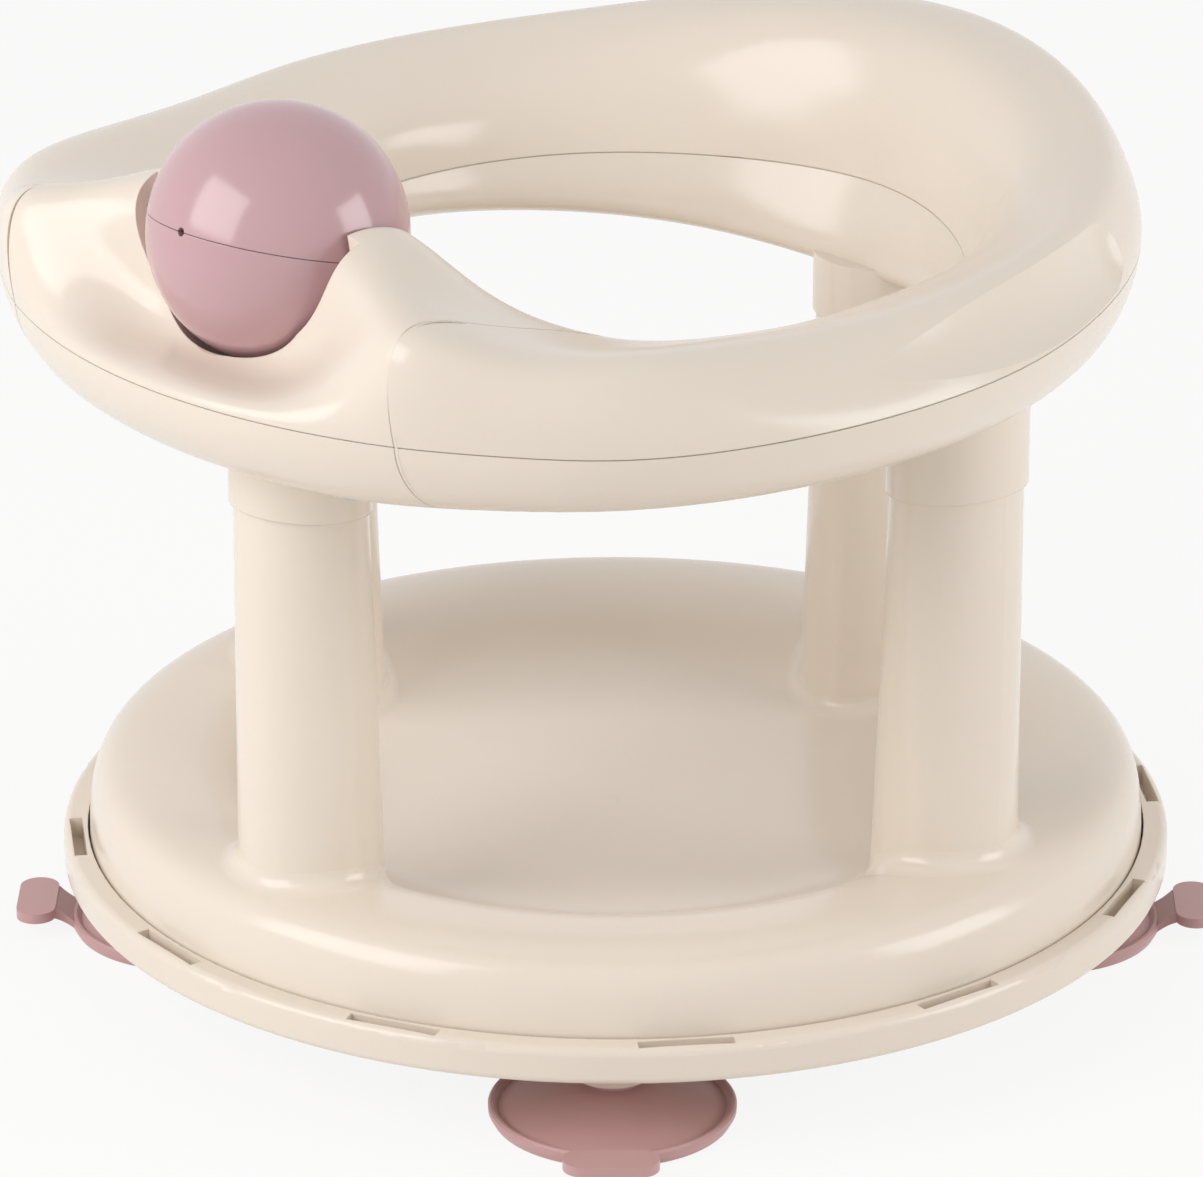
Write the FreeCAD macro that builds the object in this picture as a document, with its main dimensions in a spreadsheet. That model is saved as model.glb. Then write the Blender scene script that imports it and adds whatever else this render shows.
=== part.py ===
import FreeCAD, Part
import math
import os
import Sketcher
from FreeCAD import Vector

# Swivel bath seat. Origin: on the swivel axis, at the surface the suction cups stand on.
# Millimetres, +Z up. The rolling ball is at the front, -Y; +X is to the right seen from there.

os.makedirs("parts", exist_ok=True)
doc = FreeCAD.newDocument("swivel_bath_seat")
sheet = doc.addObject("Spreadsheet::Sheet", "Sizes")

SIZES = [
    # Base plate, measured up from the flange's underside
    ("base_radius", 175.0), ("flange_lift", 28.0), ("flange_rise", 12.0), ("lip_width", 7.6),
    ("lip_round", 2.6), ("plate_wall", 3.0), ("hub_wall", 6.0), ("hub_depth", 9.0),
    ("slot_half_length", 14.5), ("slot_edge", 2.4), ("slot_width", 4.0), ("slot_depth", 7.0),
    ("track_inside", 80.0), ("track_outside", 88.0), ("track_rise", 2.0),
    ("boss_radius", 12.0), ("boss_depth", 14.0), ("stem_radius", 5.0),
    # Suction cups
    ("cup_inset", 39.0), ("cup_radius", 37.7), ("cup_lip", 1.2), ("cup_edge", 2.2),
    ("cup_rim_height", 4.6), ("cup_rim_width", 2.2), ("cup_rim_round", 0.7),
    ("cup_dish_radius", 34.6), ("cup_dish_height", 2.9),
    ("cup_shoulder", 24.0), ("cup_shoulder_rise", 6.6), ("cup_neck", 9.0), ("cup_hollow", 7.0),
    ("cup_hollow_radius", 22.0), ("stem_head_radius", 8.0), ("stem_head", 3.0),
    ("tab_half_length", 8.3), ("tab_round", 6.2), ("tab_thickness", 3.2), ("tab_overhang", 9.6),
    ("tab_rise", 7.4), ("neck_thickness", 2.2), ("neck_half_width", 11.0), ("neck_slope", 7.0),
    ("waist_half_width", 8.2), ("waist_round", 6.0),
    # Running parts under the pan
    ("glide_thickness", 2.0), ("spigot_radius", 14.0), ("bush_wall", 2.5),
    ("bush_flange", 4.0), ("retainer_radius", 24.0), ("retainer_wall", 2.5),
    ("running_gap", 0.3), ("fit_gap", 0.1), ("seam_gap", 0.3),
    # Seat pan, with the widths of its rim, crown and dish from the skirt inwards
    ("skirt_gap", 0.6), ("skirt_height", 4.0), ("rim_height", 31.5), ("rim_width", 11.8),
    ("crown_width", 15.0), ("crown_height", 36.0), ("crown_slope", 18.0),
    ("dish_edge_height", 33.5), ("dish_edge_width", 14.0), ("dish_slope_height", 23.0),
    ("dish_slope_width", 20.0), ("dish_flat", 50.0), ("dish_height", 16.0), ("pan_wall", 3.0),
    # Pillars
    ("front_pillar_inset", 34.3), ("rear_pillar_inset", 47.8), ("right_pillar_inset", 39.8),
    ("left_pillar_inset", 44.3), ("side_pillar_offset", 19.0), ("pillar_top_radius", 20.2),
    ("pillar_foot_radius", 22.8), ("pillar_foot_height", 11.0), ("pillar_wall", 3.0),
    ("pillar_round", 6.0), ("spigot_wall", 2.8), ("pillar_overlap", 12.0),
    ("collar_radius", 21.6), ("collar_height", 153.8), ("collar_tilt", 6.5), ("collar_wall", 3.4),
    ("collar_post_radius", 6.0),
    # Ring
    ("ring_overhang", 15.5), ("ring_rise", 51.7), ("inner_drop", 10.0),
    ("ring_depth", 50.0), ("ring_wall", 2.6), ("cover_half_width", 83.5), ("cover_back", 60.0),
    # Scoops in the ring's outer sides: a round tool's radius and the path of its centre
    ("scoop_radius", 26.0), ("scoop_head_inset", 13.9), ("scoop_head_rise", 21.1),
    ("scoop_middle_inset", 13.9), ("scoop_middle_rise", 25.7), ("scoop_tail_inset", 3.0),
    ("scoop_tail_rise", 32.0),
    # Ball
    ("ball_radius", 39.1), ("ball_inset", 50.9), ("ball_rise", 36.1), ("ball_wall", 2.6),
    ("ball_gap", 1.9), ("ball_tilt", 14.0), ("drain_radius", 1.3), ("axle_radius", 4.0),
    ("axle_half_length", 50.0), ("cradle_radius", 6.4), ("cradle_end", 52.0),
    ("u_cut_radius", 44.5), ("u_cut_rise", 14.0), ("u_cut_start", 8.0),
    # Screws
    ("screw_radius", 2.0), ("screw_head_radius", 4.0), ("screw_head", 2.6), ("screw_length", 14.0),
    ("pillar_screw_length", 30.0), ("post_radius", 5.5), ("post_wall", 3.0),
    ("screw_recess", 2.4), ("ring_screw_inset", 55.5), ("cover_screw_inset", 19.5),
    ("overrun", 5.0),
]
# Sizes that follow others, as sums: radii follow the base, and the ring's heights the collars
FOLLOWING = {
    "lip_inside": "base_radius -lip_width",
    "slot_outside": "base_radius -slot_edge",
    "slot_inside": "slot_outside -slot_width",
    "cup_circle": "base_radius -cup_inset",
    "tab_circle": "base_radius tab_overhang",
    "pan_radius": "lip_inside -skirt_gap",
    "rim_shoulder": "pan_radius -rim_width",
    "crown_radius": "rim_shoulder -crown_width",
    "dish_edge_radius": "crown_radius -crown_slope",
    "dish_slope_radius": "dish_edge_radius -dish_edge_width",
    "dish_radius": "dish_slope_radius -dish_slope_width",
    "front_pillar_reach": "pan_radius -front_pillar_inset",
    "rear_pillar_reach": "pan_radius -rear_pillar_inset",
    "right_pillar_reach": "pan_radius -right_pillar_inset",
    "left_pillar_reach": "pan_radius -left_pillar_inset",
    "ring_reach": "base_radius ring_overhang",
    "parting_height": "collar_height ring_rise",
    "inner_parting_height": "parting_height -inner_drop",
    "scoop_head_reach": "ring_reach -scoop_head_inset",
    "scoop_middle_reach": "ring_reach -scoop_middle_inset",
    "scoop_tail_reach": "ring_reach -scoop_tail_inset",
    "scoop_head_height": "parting_height scoop_head_rise",
    "scoop_middle_height": "parting_height scoop_middle_rise",
    "scoop_tail_height": "parting_height scoop_tail_rise",
    "ball_reach": "ring_reach -ball_inset",
    "ball_height": "parting_height ball_rise",
    "ring_screw_circle": "ring_reach -ring_screw_inset",
    "cover_screw_circle": "ring_reach -cover_screw_inset",
}
for row, (name, value) in enumerate(SIZES, start=1):
    sheet.set("A%d" % row, name)
    sheet.set("B%d" % row, str(value))
    sheet.setAlias("B%d" % row, name)
doc.recompute()


def driving(words, sign=1):
    """The sheet's sizes in a sum such as "lip_inside -skirt_gap", each with its sign."""
    terms = []
    for word in words.split():
        name = word.lstrip("-")
        way = -sign if word.startswith("-") else sign
        if name in FOLLOWING:
            terms += driving(FOLLOWING[name], way)
        elif name != "0":
            terms.append((way, name))
    return terms


def amount(words):
    """Add up named sizes, such as "base_radius -lip_round"."""
    return sum((way * float(sheet.get(name)) for way, name in driving(words)), 0.0)


def formula(words):
    """Write the same sum as an expression on the sheet."""
    return "".join(" %s Sizes.%s" % ("+" if way > 0 else "-", name)
                   for way, name in driving(words)) or "0"


S = {name: amount(name) for name in [name for name, _ in SIZES] + list(FOLLOWING)}


def lift(item):
    """Stand a sub-part, drawn from the flange's underside, on the bath floor."""
    item.setExpression("Placement.Base.z", "Sizes.flange_lift")


def feature(name, shape):
    """Store a shape made with Part functions as a named sub-part."""
    item = doc.addObject("Part::Feature", name)
    item.Label = name
    item.Shape = shape
    lift(item)
    return item


def sketch_on(body, name, role, height="0", turn=0.0):
    """Start a sketch on one of the body's own origin planes."""
    sketch = body.newObject("Sketcher::SketchObject", name)
    plane = [part for part in body.Origin.OriginFeatures if part.Role == role][0]
    sketch.AttachmentSupport = (plane, [""])
    sketch.MapMode = "FlatFace"
    sketch.AttachmentOffset = FreeCAD.Placement(Vector(0, 0, amount(height)),
                                                FreeCAD.Rotation(Vector(0, 0, 1), turn))
    if height != "0":
        sketch.setExpression("AttachmentOffset.Base.z", formula(height))
    return sketch


def draw_outline(sketch, outline):
    """Draw a closed outline whose corners are sums of named sizes."""
    corners = [Vector(amount(x), amount(y), 0) for x, y in outline]
    count = len(corners)
    for index in range(count):
        sketch.addGeometry(Part.LineSegment(corners[index], corners[(index + 1) % count]))
    for index in range(count):
        sketch.addConstraint(Sketcher.Constraint("Coincident", index, 2, (index + 1) % count, 1))
    for index, (x, y) in enumerate(outline):
        for kind, words, axis in (("DistanceX", x, -2), ("DistanceY", y, -1)):
            if words == "0":
                sketch.addConstraint(Sketcher.Constraint("PointOnObject", index, 1, axis))
                continue
            number = sketch.addConstraint(
                Sketcher.Constraint(kind, -1, 1, index, 1, amount(words)))
            sketch.setExpression("Constraints[%d]" % number, formula(words))


def turned(name, outline):
    """Turn an outline round the body's own Z axis."""
    body = doc.addObject("PartDesign::Body", name)
    body.Label = name
    sketch = sketch_on(body, name + "_outline", "XZ_Plane")
    draw_outline(sketch, outline)
    turn = body.newObject("PartDesign::Revolution", name + "_turn")
    turn.Profile = sketch
    turn.ReferenceAxis = (sketch, ["V_Axis"])
    turn.Angle = 360.0
    body.Tip = turn
    doc.recompute()
    return body


# The ring's section at each angle from the front, as shares of the ring's reach and depth:
# parting radii, then the upper and the lower curve's poles from the outside inwards.
RING_SHARES = [
    (0, 1.0, 0.546,
     [(0.999, 0.08), (0.94, 0.1), (0.838, 0.08), (0.842, 0.8), (0.786, 1.05), (0.64, 0.99),
      (0.548, 0.41)],
     [(0.997, -0.15), (0.966, -0.39), (0.903, -0.56), (0.735, -0.63), (0.588, -0.51),
      (0.535, -0.37), (0.543, -0.29)]),
    (12, 1.0, 0.549,
     [(1.0, 0.08), (0.955, 0.13), (0.852, 0.16), (0.858, 0.78), (0.796, 1.02), (0.648, 0.96),
      (0.552, 0.4)],
     [(0.997, -0.15), (0.966, -0.39), (0.903, -0.56), (0.735, -0.63), (0.588, -0.51),
      (0.535, -0.37), (0.543, -0.29)]),
    (20, 1.0, 0.551,
     [(1.002, 0.12), (0.975, 0.3), (0.925, 0.52), (0.895, 0.82), (0.79, 0.9), (0.65, 0.79),
      (0.572, 0.39)],
     [(0.997, -0.15), (0.966, -0.39), (0.903, -0.56), (0.735, -0.62), (0.588, -0.5),
      (0.535, -0.37), (0.545, -0.29)]),
    (27, 1.0, 0.554,
     [(1.012, 0.21), (1.018, 0.5), (0.99, 0.7), (0.91, 0.73), (0.787, 0.63), (0.64, 0.53),
      (0.572, 0.33)],
     [(0.997, -0.14), (0.966, -0.37), (0.903, -0.54), (0.735, -0.61), (0.59, -0.5),
      (0.537, -0.36), (0.547, -0.28)]),
    (35, 0.997, 0.556,
     [(1.008, 0.17), (1.003, 0.41), (0.966, 0.55), (0.892, 0.55), (0.761, 0.45), (0.62, 0.35),
      (0.567, 0.17)],
     [(0.995, -0.14), (0.966, -0.35), (0.905, -0.51), (0.735, -0.59), (0.592, -0.48),
      (0.539, -0.35), (0.549, -0.28)]),
    (45, 0.997, 0.559,
     [(1.003, 0.13), (0.987, 0.37), (0.945, 0.51), (0.882, 0.51), (0.745, 0.35), (0.598, 0.21),
      (0.562, 0.05)],
     [(0.995, -0.13), (0.966, -0.33), (0.908, -0.48), (0.735, -0.57), (0.593, -0.47),
      (0.541, -0.34), (0.551, -0.27)]),
    (60, 0.955, 0.551,
     [(0.95, 0.11), (0.903, 0.33), (0.856, 0.45), (0.798, 0.45), (0.693, 0.29), (0.577, 0.14),
      (0.551, 0.01)],
     [(0.95, -0.13), (0.919, -0.35), (0.861, -0.49), (0.709, -0.57), (0.583, -0.47),
      (0.535, -0.35), (0.543, -0.28)]),
    (75, 0.908, 0.549,
     [(0.898, 0.09), (0.84, 0.29), (0.803, 0.4), (0.756, 0.41), (0.667, 0.27), (0.577, 0.16),
      (0.549, 0.03)],
     [(0.903, -0.13), (0.871, -0.36), (0.819, -0.5), (0.682, -0.58), (0.572, -0.48),
      (0.533, -0.36), (0.541, -0.28)]),
    (90, 0.874, 0.549,
     [(0.866, 0.09), (0.819, 0.29), (0.79, 0.42), (0.745, 0.43), (0.667, 0.3), (0.583, 0.2),
      (0.554, 0.05)],
     [(0.869, -0.13), (0.84, -0.36), (0.793, -0.51), (0.677, -0.59), (0.572, -0.5),
      (0.53, -0.38), (0.538, -0.29)]),
    (110, 0.843, 0.556,
     [(0.84, 0.1), (0.811, 0.29), (0.787, 0.44), (0.751, 0.47), (0.677, 0.34), (0.604, 0.23),
      (0.567, 0.05)],
     [(0.84, -0.13), (0.816, -0.37), (0.772, -0.53), (0.672, -0.63), (0.572, -0.56),
      (0.528, -0.46), (0.538, -0.33)]),
    (130, 0.845, 0.564,
     [(0.848, 0.11), (0.827, 0.31), (0.798, 0.49), (0.761, 0.53), (0.703, 0.45), (0.64, 0.35),
      (0.588, 0.11)],
     [(0.843, -0.13), (0.819, -0.4), (0.772, -0.58), (0.672, -0.69), (0.572, -0.64),
      (0.528, -0.54), (0.541, -0.37)]),
    (150, 0.861, 0.572,
     [(0.864, 0.13), (0.848, 0.37), (0.814, 0.61), (0.777, 0.67), (0.724, 0.65), (0.656, 0.56),
      (0.604, 0.19)],
     [(0.858, -0.15), (0.832, -0.44), (0.782, -0.64), (0.672, -0.76), (0.572, -0.72),
      (0.528, -0.62), (0.546, -0.41)]),
    (180, 0.877, 0.596,
     [(0.879, 0.15), (0.866, 0.45), (0.835, 0.73), (0.793, 0.79), (0.724, 0.79), (0.651, 0.69),
      (0.614, 0.29)],
     [(0.874, -0.15), (0.845, -0.49), (0.787, -0.71), (0.672, -0.83), (0.572, -0.81),
      (0.528, -0.72), (0.551, -0.47)]),
]


# Points looked at along an edge, and the halves of a wall or a span
FOOT_POINTS = 5
HALVES = 2
# Places of the upper and the lower curve in a row, and the last row of the front cover's stretch
UPPER = 3
LOWER = 4
FRONT_SECTIONS_END = 90
FULL_TURN = 360.0
CURVE_DEGREE = 3
CUP_ANGLE = 45.0
CUP_COUNT = 4
SLOT_ANGLE = 22.5
SLOT_COUNT = 12


def ring_stations(front):
    """Sections of the front cover's stretch, or of the rest of the ring, side to side."""
    if front:
        rows = [row for row in RING_SHARES if row[0] <= FRONT_SECTIONS_END]
        return [(-row[0],) + row[1:] for row in reversed(rows[1:])] + rows
    rows = RING_SHARES[1:]
    return rows + [(FULL_TURN - row[0],) + row[1:] for row in reversed(rows[:-1])]


def section_poles(row, curve, drop):
    """Poles of one section's curve as (radius, height) pairs."""
    angle, outer, inner = row[0], row[1], row[2]
    poles = [(outer * S["ring_reach"], S["parting_height"] - drop)]
    for radius_share, height_share in row[curve]:
        poles.append((radius_share * S["ring_reach"],
                      S["parting_height"] + height_share * S["ring_depth"]))
    poles.append((inner * S["ring_reach"], S["inner_parting_height"] - drop))
    return poles


def inset(poles, side, wall):
    """Move a section's poles inwards by part of the wall, square to the curve."""
    moved = []
    last = len(poles) - 1
    for index, (radius, height) in enumerate(poles):
        before = poles[max(index - 1, 0)]
        after = poles[min(index + 1, last)]
        along = (after[0] - before[0], after[1] - before[1])
        length = math.hypot(along[0], along[1])
        across = (-along[1] / length * side, along[0] / length * side)
        if index in (0, last):
            across = (-1.0 if index == 0 else 1.0, 0.0)
        moved.append((radius + across[0] * wall, height + across[1] * wall))
    return moved


def ring_point(radius, height, angle):
    """A point of the ring at an angle from the front."""
    turn = math.radians(angle)
    return Vector(radius * math.sin(turn), -radius * math.cos(turn), height)


def section_curve(poles, angle):
    """One smooth curve of a section, drawn in its upright plane."""
    points = [ring_point(radius, height, angle) for radius, height in poles]
    spans = len(points) - CURVE_DEGREE
    knots = list(range(spans + 1))
    ends = CURVE_DEGREE + 1
    mults = [ends] + [1] * (spans - 1) + [ends]
    curve = Part.BSplineCurve()
    curve.buildFromPolesMultsKnots(points, mults, knots, False, CURVE_DEGREE)
    return curve.toShape()


def section_wire(poles, angle, side, channel):
    """A closed section: a channel one wall thick, or what fills it to the middle of its wall."""
    if not channel:
        core = section_curve(inset(poles, side, S["ring_wall"] / HALVES), angle)
        start, end = core.Vertexes[0].Point, core.Vertexes[-1].Point
        return Part.Wire([core, Part.LineSegment(end, start).toShape()])
    outer = section_curve(poles, angle)
    start, end = outer.Vertexes[0].Point, outer.Vertexes[-1].Point
    inner = section_curve(inset(poles, side, S["ring_wall"]), angle)
    inner_start, inner_end = inner.Vertexes[0].Point, inner.Vertexes[-1].Point
    return Part.Wire([outer, Part.LineSegment(end, inner_end).toShape(), inner,
                      Part.LineSegment(inner_start, start).toShape()])


def ring_solid(curve, channel, front):
    """The ring's upper or lower half, as a channel or as the core that fills it."""
    drop = 0.0 if curve == UPPER else S["seam_gap"]
    side = 1 if curve == UPPER else -1
    wires = [section_wire(section_poles(row, curve, drop), row[0], side, channel)
             for row in ring_stations(front)]
    return Part.makeLoft(wires, True)


def upright(radius, place, low, high):
    """A cylinder standing at a place, from one height to another."""
    return Part.makeCylinder(radius, high - low, Vector(place[0], place[1], low))


def polar(radius, angle):
    """A place at an angle from the front, positive towards +X."""
    spot = ring_point(radius, 0, angle)
    return (spot.x, spot.y)


PILLARS = {
    "front": (0.0, -S["front_pillar_reach"]),
    "right": (S["right_pillar_reach"], S["side_pillar_offset"]),
    "rear": (0.0, S["rear_pillar_reach"]),
    "left": (-S["left_pillar_reach"], -S["side_pillar_offset"]),
}
SCOOP_ANGLES = (("head", 115.5), ("middle", 90.0), ("tail", 66.0))
RING_SCREW_ANGLES = (50, 125, 155, -50, -125, -155)
COVER_SCREW_ANGLES = (19, -19)
RING_SCREWS = [polar(S["ring_screw_circle"], angle) for angle in RING_SCREW_ANGLES]
COVER_SCREWS = [polar(S["cover_screw_circle"], angle) for angle in COVER_SCREW_ANGLES]
BALL_CENTRE = Vector(0, -S["ball_reach"], S["ball_height"])


def cover_block(gap):
    """The block that takes the front cover out of the ring."""
    half = S["cover_half_width"] - gap
    width = half + half
    back = S["cover_back"] + gap
    depth = S["ring_reach"] + S["ring_depth"] - back
    return Part.makeBox(width, depth, S["ball_height"], Vector(-half, -back - depth, S["ring_depth"]))


def u_cut(wall):
    """The round cut that opens the pocket to the front, or its lining when a wall is given."""
    start = S["ball_reach"] + S["u_cut_start"] - wall
    length = S["ring_reach"] + S["overrun"] - start
    middle = Vector(0, -start, S["ball_height"] + S["u_cut_rise"])
    return Part.makeCylinder(S["u_cut_radius"] + wall, length, middle, Vector(0, -1, 0))


def pocket():
    """Space round the ball: a sphere, opened at the front by a wider U-shaped cut."""
    return Part.makeSphere(S["ball_radius"] + S["ball_gap"], BALL_CENTRE).fuse(u_cut(0))


def scoops(wall):
    """The long scoops in the ring's outer sides, or their linings when a wall is given."""
    radius = S["scoop_radius"] + wall
    tools = []
    for side in (-1, 1):
        path = [ring_point(S["scoop_%s_reach" % name], S["scoop_%s_height" % name], side * angle)
                for name, angle in SCOOP_ANGLES]
        edge = Part.Arc(path[0], path[1], path[2]).toShape()
        circle = Part.Circle(path[0], edge.tangentAt(edge.FirstParameter), radius)
        sweep = Part.Wire([edge]).makePipe(Part.Face(Part.Wire(circle.toShape())))
        tools.append(sweep.fuse(Part.makeSphere(radius, path[0])))
    return tools


def underside(core, place):
    """Height of the middle of a lower half's wall at a place."""
    probe = Part.makeLine(Vector(place[0], place[1], 0),
                          Vector(place[0], place[1], S["parting_height"] + S["ring_depth"]))
    return core.common(probe).BoundBox.ZMin


def pillar_top():
    return S["collar_height"] + S["pillar_overlap"]


def under_lip(place, gap):
    """All that lies under the tilted joint between a pillar and its collar, higher outwards."""
    depth = S["collar_height"] + S["collar_height"]
    reach = S["ring_depth"]
    block = Part.makeBox(reach + reach, reach + reach, depth, Vector(-reach, -reach, -depth))
    block.rotate(Vector(0, 0, 0), Vector(0, -1, 0), S["collar_tilt"])
    block.rotate(Vector(0, 0, 0), Vector(0, 0, 1), math.degrees(math.atan2(place[1], place[0])))
    block.translate(Vector(place[0], place[1], S["collar_height"] - gap))
    return block


def collar(place, seat):
    """A pillar collar: a closed sleeve under the ring, bored for its screw."""
    low = S["collar_height"] - S["overrun"]
    outer = upright(S["collar_radius"], place, low, seat)
    sleeve = upright(S["collar_radius"] - S["collar_wall"], place, low, pillar_top() + S["fit_gap"])
    bore = upright(S["screw_radius"] + S["fit_gap"], place, low, seat + S["overrun"])
    return outer.cut([sleeve, bore, under_lip(place, 0)])


def lower_part(front, pillars, screws):
    """A lower shell with its collars and screw pads, and the heights its screws seat at."""
    core = ring_solid(LOWER, False, front)
    shell = ring_solid(LOWER, True, front)
    additions = []
    hollows = []
    recesses = []
    collar_seats = {}
    for name in pillars:
        place = PILLARS[name]
        seat = underside(core, place) + S["ring_wall"] + S["post_wall"]
        collar_seats[name] = seat
        hollows.append(upright(S["collar_radius"] - S["collar_wall"], place, S["collar_height"], seat))
        additions.append(collar(place, seat))
    screw_seats = []
    for place in screws:
        seat = underside(core, place) + S["screw_recess"]
        top = seat + S["post_wall"]
        additions.append(upright(S["post_radius"], place, S["collar_height"], top).common(core))
        recesses.append(upright(S["screw_head_radius"] + S["seam_gap"], place, S["collar_height"], seat))
        recesses.append(upright(S["screw_radius"] + S["seam_gap"], place, S["collar_height"],
                                top + S["overrun"]))
        screw_seats.append((place, seat, top))
    shell = shell.cut(hollows).fuse(additions).cut(recesses)
    if front:
        shell = shell.common(cover_block(S["seam_gap"]))
    else:
        shell = shell.cut(cover_block(0))
    return shell, collar_seats, screw_seats


def upper_part(front, screw_seats):
    """An upper shell with the posts its screws bite into."""
    core = ring_solid(UPPER, False, front)
    shell = ring_solid(UPPER, True, front)
    additions = []
    bores = []
    for place, seat, top in screw_seats:
        low = top + S["fit_gap"]
        post = upright(S["post_radius"], place, low, S["parting_height"] + S["ring_depth"])
        below = upright(S["post_radius"], place, low, S["parting_height"] + S["ring_wall"])
        additions.append(below.fuse(post.common(core)))
        bores.append(upright(S["screw_radius"] + S["fit_gap"], place, low,
                             seat + S["screw_length"] + S["post_wall"]))
    if front:
        bowl = Part.makeSphere(S["ball_radius"] + S["ball_gap"] + S["ring_wall"], BALL_CENTRE)
        side = S["cradle_end"]
        cradle = Part.makeCylinder(S["cradle_radius"], side + side,
                                   BALL_CENTRE - Vector(side, 0, 0), Vector(1, 0, 0))
        low = S["parting_height"] - S["overrun"]
        floor = bowl.common(upright(S["ball_radius"], (0, -S["ball_reach"]),
                                    low - S["overrun"], low))
        shell = shell.common(cover_block(S["seam_gap"]))
        additions += [bowl.common(core), cradle.common(core), u_cut(S["ring_wall"]).common(core),
                      floor]
        bores += [pocket(), axle_shape(S["fit_gap"])]
    else:
        shell = shell.cut(cover_block(0))
        additions += [lining.common(core) for lining in scoops(S["ring_wall"])]
        bores += scoops(0)
    return shell.fuse(additions).cut(bores)


def axle_shape(gap):
    """The ball's axle, or its bore when a gap is given."""
    half = S["axle_half_length"] + gap
    return Part.makeCylinder(S["axle_radius"] + gap, half + half,
                             BALL_CENTRE - Vector(half, 0, 0), Vector(1, 0, 0))


def ball_half(upper):
    """One hollow half of the ball, with half of the tube that runs on the axle."""
    outside = Part.makeSphere(S["ball_radius"], BALL_CENTRE)
    hollow = Part.makeSphere(S["ball_radius"] - S["ball_wall"], BALL_CENTRE)
    tube_radius = S["axle_radius"] + S["ball_wall"]
    reach = S["ball_radius"]
    tube = Part.makeCylinder(tube_radius, reach + reach, BALL_CENTRE - Vector(reach, 0, 0),
                             Vector(1, 0, 0))
    ball = outside.cut(hollow.cut(tube)).cut(axle_shape(S["fit_gap"]))
    drain = Part.makeCylinder(S["drain_radius"], reach + S["overrun"], BALL_CENTRE,
                              Vector(0, -1, 0))
    side = reach + S["overrun"]
    low = S["fit_gap"] if upper else -side
    half = Part.makeBox(side + side, side + side, side - S["fit_gap"],
                        BALL_CENTRE + Vector(-side, -side, low))
    for tool in (half, drain):
        tool.rotate(BALL_CENTRE, Vector(-1, 0, 0), S["ball_tilt"])
    return ball.common(half).cut(drain)


def pan_poles():
    """The pan's upper surface, from the middle of the dish to the foot of the skirt."""
    return [
        (0.0, S["dish_height"]),
        (S["dish_flat"], S["dish_height"]),
        (S["dish_radius"], S["dish_height"]),
        (S["dish_slope_radius"], S["dish_slope_height"]),
        (S["dish_edge_radius"], S["dish_edge_height"]),
        (S["crown_radius"], S["crown_height"]),
        (S["rim_shoulder"], S["crown_height"]),
        (S["pan_radius"], S["rim_height"]),
        (S["pan_radius"], S["flange_rise"]),
        (S["pan_radius"], S["skirt_height"]),
    ]


def pan_filled(hollow):
    """The pan as a filled turned solid, or the space under it."""
    poles = pan_poles()
    base = poles[-1][1]
    if hollow:
        poles = lowered(poles)
        base -= S["overrun"]
    curve = section_curve(poles, 0)
    start, end = curve.Vertexes[0].Point, curve.Vertexes[-1].Point
    corner = Vector(end.x, end.y, base)
    foot = Vector(0, 0, base)
    edges = [curve]
    if hollow:
        edges.append(Part.LineSegment(end, corner).toShape())
    edges.append(Part.LineSegment(corner, foot).toShape())
    edges.append(Part.LineSegment(foot, start).toShape())
    return Part.Face(Part.Wire(edges)).revolve(Vector(0, 0, 0), Vector(0, 0, 1), FULL_TURN)


def lowered(poles):
    """The pan's poles moved in by its wall: straight down in the dish, inwards at the skirt."""
    wall = S["pan_wall"]
    moved = []
    for radius, height in poles:
        if radius < S["pan_radius"]:
            moved.append((radius, height - wall))
        else:
            moved.append((radius - wall, height - wall if height == S["rim_height"] else height))
    return moved


def pillar(place, wall):
    """A pillar's outside, or its hollow when a wall is given: upright on its outer side."""
    away = math.hypot(place[0], place[1])
    shift = S["pillar_foot_radius"] - S["pillar_top_radius"]
    foot = ((away - shift) / away * place[0], (away - shift) / away * place[1])
    low = S["skirt_height"] if wall else S["pillar_foot_height"]
    top = S["collar_height"] + (-wall - S["overrun"] if wall else S["overrun"])
    wires = []
    for spot, radius, height in ((foot, S["pillar_foot_radius"] - wall, low),
                                 (place, S["pillar_top_radius"] - wall, top)):
        circle = Part.Circle(Vector(spot[0], spot[1], height), Vector(0, 0, 1), radius)
        wires.append(Part.Wire(circle.toShape()))
    shape = Part.makeLoft(wires, True, True)
    return shape if wall else shape.common(under_lip(place, S["fit_gap"]))


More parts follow.
